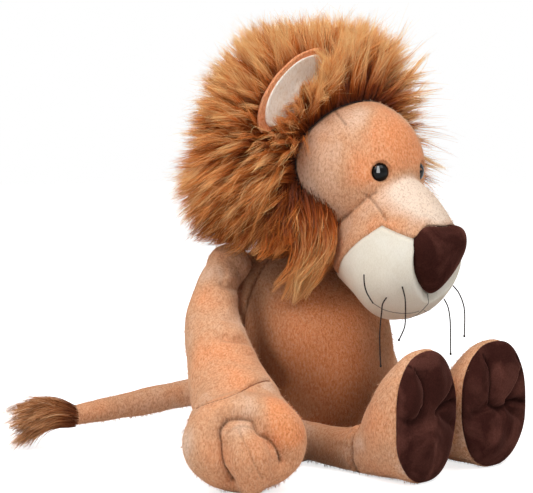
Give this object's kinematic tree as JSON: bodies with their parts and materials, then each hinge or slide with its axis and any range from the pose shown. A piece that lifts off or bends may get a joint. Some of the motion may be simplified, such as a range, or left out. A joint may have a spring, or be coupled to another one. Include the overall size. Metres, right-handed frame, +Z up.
{
  "type": "plush lion",
  "caption": "Seated stuffed toy lion with swinging arms, splaying legs, a nodding head and a swinging tail.",
  "frame": {"origin": "on the floor, under the middle of its seat", "axes": "+Z up, the lion faces -Y, and -X is its own right side"},
  "size_m": [0.3398, 0.2917, 0.3002],
  "materials": {
    "tan_plush": "short napped plush",
    "cream_plush": "short smooth plush",
    "brown_velvet": "velvet",
    "mane_pile": "long loose pile",
    "stuffing": "polyester fibre",
    "pellets": "bagged granules",
    "black_gloss": "polished",
    "washer_plastic": "as moulded",
    "dark_thread": "waxed thread"
  },
  "bodies": {
    "torso": {"torso_cover": "tan_plush", "torso_filling": "stuffing", "pellet_bag": "pellets"},
    "neck": {"neck_filling": "stuffing"},
    "head": {"mane_pelt": "mane_pile", "face_cover": "tan_plush", "head_filling": "stuffing", "muzzle_bridge": "tan_plush", "muzzle_side_right": "tan_plush", "muzzle_side_left": "tan_plush", "cheek_right": "cream_plush", "cheek_left": "cream_plush", "muzzle_filling": "stuffing", "nose": "brown_velvet", "eye_right": "black_gloss", "eye_left": "black_gloss", "eye_washer_right": "washer_plastic", "eye_washer_left": "washer_plastic", "ear_outer_right": "tan_plush", "ear_outer_left": "tan_plush", "ear_lining_right": "cream_plush", "ear_lining_left": "cream_plush", "whisker_right_rear": "dark_thread", "whisker_right_front": "dark_thread", "whisker_left_rear": "dark_thread", "whisker_left_front": "dark_thread"},
    "arm_right": {"arm_cover_right": "tan_plush", "arm_filling_right": "stuffing", "hand_cover_right": "tan_plush", "hand_filling_right": "stuffing", "thumb_right": "tan_plush"},
    "arm_left": {"arm_cover_left": "tan_plush", "arm_filling_left": "stuffing", "hand_cover_left": "tan_plush", "hand_filling_left": "stuffing", "thumb_left": "tan_plush"},
    "leg_right": {"leg_cover_right": "tan_plush", "leg_filling_right": "stuffing", "foot_cover_right": "tan_plush", "foot_filling_right": "stuffing", "foot_sole_right": "brown_velvet"},
    "leg_left": {"leg_cover_left": "tan_plush", "leg_filling_left": "stuffing", "foot_cover_left": "tan_plush", "foot_filling_left": "stuffing", "foot_sole_left": "brown_velvet"},
    "tail": {"tail_cover": "tan_plush", "tail_filling": "stuffing", "tail_tuft": "mane_pile"}
  },
  "joints": [
    {"name": "neck_turn", "type": "hinge", "parent": "torso", "child": "neck", "pos_m": [0, -0.004, 0.148], "axis": [0, 0, 1], "range_deg": [-30, 30]},
    {"name": "neck_nod", "type": "hinge", "parent": "neck", "child": "head", "pos_m": [0, -0.004, 0.148], "axis": [1, 0, 0], "range_deg": [-9, 5], "stiffness_Nm_per_rad": 3},
    {"name": "shoulder_right", "type": "hinge", "parent": "torso", "child": "arm_right", "pos_m": [-0.051, 0.015, 0.132], "axis": [-1, 0, 0], "range_deg": [0, 50]},
    {"name": "shoulder_left", "type": "hinge", "parent": "torso", "child": "arm_left", "pos_m": [0.051, 0.015, 0.132], "axis": [1, 0, 0], "range_deg": [-80, 0]},
    {"name": "hip_right", "type": "hinge", "parent": "torso", "child": "leg_right", "pos_m": [-0.042, -0.046, 0.016], "axis": [0, 0, 1], "range_deg": [-22, 0]},
    {"name": "hip_left", "type": "hinge", "parent": "torso", "child": "leg_left", "pos_m": [0.042, -0.046, 0.016], "axis": [0, 0, 1], "range_deg": [0, 22]},
    {"name": "tail_swing", "type": "hinge", "parent": "torso", "child": "tail", "pos_m": [0, 0.051, 0.036], "axis": [0, 0, 1], "range_deg": [-60, 0]}
  ]
}
